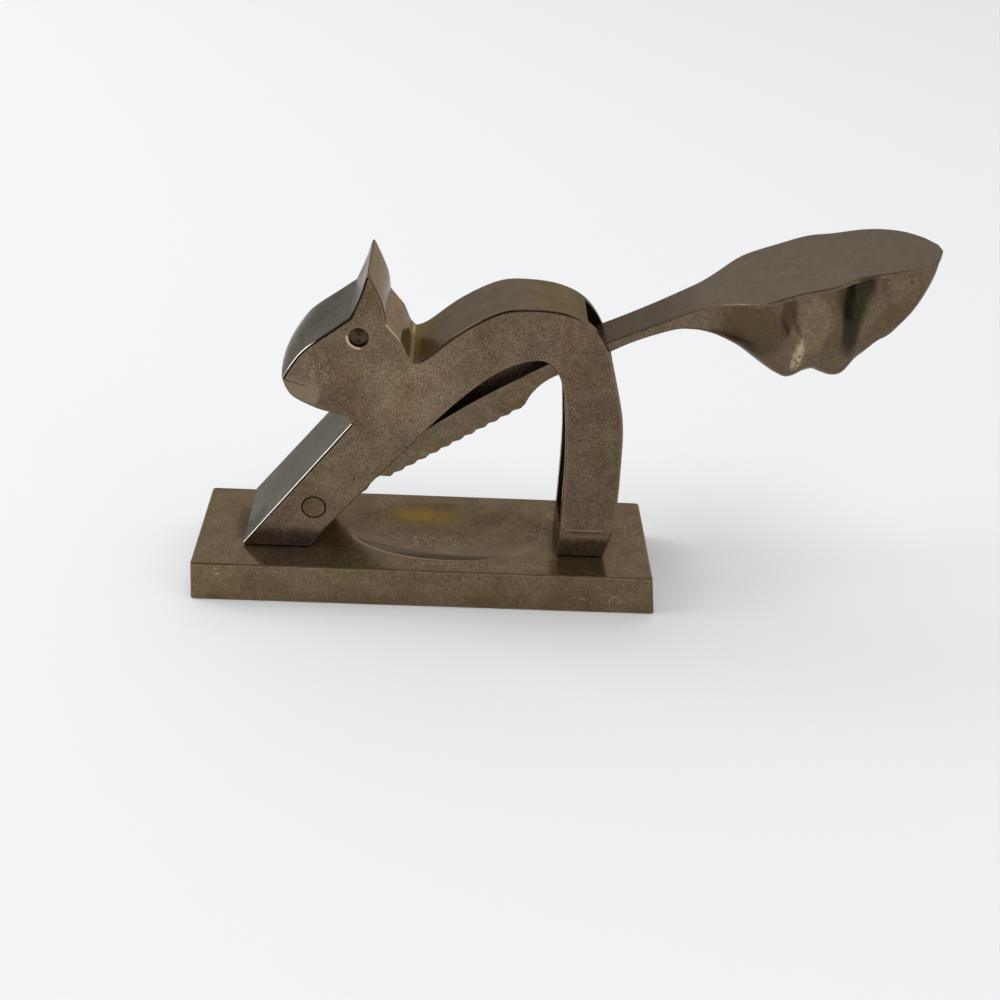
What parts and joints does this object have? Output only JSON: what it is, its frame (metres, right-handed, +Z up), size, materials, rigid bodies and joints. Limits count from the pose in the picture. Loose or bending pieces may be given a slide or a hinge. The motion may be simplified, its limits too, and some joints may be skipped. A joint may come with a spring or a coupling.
{
  "type": "lever nutcracker press",
  "caption": "Cast brass nutcracker: an arched squirrel figure on a base plate with an oval nut hollow, its tail pressed down as the lever of a toothed jaw.",
  "frame": {"origin": "centre of the base plate's underside", "axes": "+X from the squirrel's nose to its tail, +Y away from the side that the picture shows, +Z up"},
  "size_m": [0.1967, 0.042, 0.106],
  "materials": {
    "base_brass": "worn, semi-polished tarnished brass",
    "figure_brass": "worn, semi-polished tarnished brass",
    "lever_brass": "worn, satin tarnished brass",
    "pin_brass": "peened and filed flush",
    "screw_steel": "plain turned steel"
  },
  "bodies": {
    "figure": {"base_plate": "base_brass", "squirrel_body": "figure_brass", "pivot_pin": "pin_brass", "front_foot_screw": "screw_steel", "rear_foot_screw": "screw_steel"},
    "lever": {"tail_lever": "lever_brass"}
  },
  "joints": [
    {"name": "lever_pivot", "type": "hinge", "parent": "figure", "child": "lever", "pos_m": [-0.0316, 0, 0.0254], "axis": [0, 1, 0], "range_deg": [-2, 27]}
  ]
}
